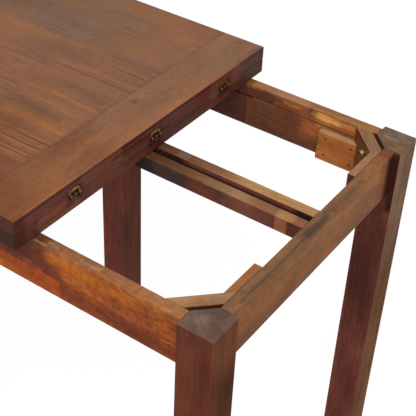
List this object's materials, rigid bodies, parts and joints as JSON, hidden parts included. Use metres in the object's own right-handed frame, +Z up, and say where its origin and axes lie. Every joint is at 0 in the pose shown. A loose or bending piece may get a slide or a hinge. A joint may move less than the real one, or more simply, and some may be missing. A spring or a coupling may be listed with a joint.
{
  "type": "fold-over dining table",
  "caption": "Fold-over extending dining table in brown lacquered wood: brass-hinged leaves folded and slid back on a square-legged frame with a slotted centre slide rail.",
  "frame": {"origin": "on the floor, under the middle of the whole table as it stands with the top slid back", "axes": "+Z up, +X along the side aprons towards the open half of the frame, +Y to the far side apron"},
  "size_m": [1.0892, 0.681, 0.8046],
  "materials": {
    "top_wood": "satin lacquer, brown stain, boards of varied tone",
    "frame_wood": "satin lacquer, red-brown stain",
    "rail_wood": "satin lacquer, light tan stain, rubbed",
    "block_wood": "thin lacquer over pale wood",
    "brass": "polished",
    "zinc_steel": "zinc plated",
    "dark_steel": "dark oiled"
  },
  "bodies": {
    "frame": {"side_apron_near": "frame_wood", "side_apron_far": "frame_wood", "end_apron_open": "frame_wood", "end_apron_leaf": "frame_wood", "leg_open_near": "frame_wood", "leg_open_far": "frame_wood", "leg_leaf_near": "frame_wood", "leg_leaf_far": "frame_wood", "slide_rail_near": "rail_wood", "slide_rail_far": "rail_wood", "corner_brace_open_near": "block_wood", "side_cleat_open_near": "block_wood", "end_cleat_open_near": "block_wood", "corner_brace_open_far": "block_wood", "side_cleat_open_far": "block_wood", "end_cleat_open_far": "block_wood", "corner_brace_leaf_near": "block_wood", "side_cleat_leaf_near": "block_wood", "end_cleat_leaf_near": "block_wood", "corner_brace_leaf_far": "block_wood", "side_cleat_leaf_far": "block_wood", "end_cleat_leaf_far": "block_wood", "hanger_bolt_open_near_upper": "dark_steel", "bolt_nut_open_near_upper": "zinc_steel", "hanger_bolt_open_near_lower": "dark_steel", "bolt_nut_open_near_lower": "zinc_steel", "hanger_bolt_open_far_upper": "dark_steel", "bolt_nut_open_far_upper": "zinc_steel", "hanger_bolt_open_far_lower": "dark_steel", "bolt_nut_open_far_lower": "zinc_steel", "hanger_bolt_leaf_near_upper": "dark_steel", "bolt_nut_leaf_near_upper": "zinc_steel", "hanger_bolt_leaf_near_lower": "dark_steel", "bolt_nut_leaf_near_lower": "zinc_steel", "hanger_bolt_leaf_far_upper": "dark_steel", "bolt_nut_leaf_far_upper": "zinc_steel", "hanger_bolt_leaf_far_lower": "dark_steel", "bolt_nut_leaf_far_lower": "zinc_steel"},
    "lower_leaf": {"lower_leaf_panel": "top_wood", "lower_leaf_hinged_end": "top_wood", "lower_leaf_free_end": "top_wood", "hinge_tongue_near": "dark_steel", "hinge_tongue_middle": "dark_steel", "hinge_tongue_far": "dark_steel", "slide_runner": "rail_wood", "keeper_strip": "rail_wood", "keeper_screw_1": "zinc_steel", "keeper_screw_2": "zinc_steel", "keeper_screw_3": "zinc_steel"},
    "upper_leaf": {"upper_leaf_panel": "top_wood", "upper_leaf_hinged_end": "top_wood", "upper_leaf_free_end": "top_wood", "hinge_fork_near": "brass", "hinge_pin_near": "dark_steel", "hinge_fork_middle": "brass", "hinge_pin_middle": "dark_steel", "hinge_fork_far": "brass", "hinge_pin_far": "dark_steel"}
  },
  "joints": [
    {"name": "top_slide", "type": "slide", "parent": "frame", "child": "lower_leaf", "axis": [1, 0, 0], "range_m": [0, 0.3735]},
    {"name": "leaf_fold", "type": "hinge", "parent": "lower_leaf", "child": "upper_leaf", "pos_m": [0.20258, 0, 0.77745], "axis": [0, 1, 0], "range_deg": [0, 180]}
  ]
}
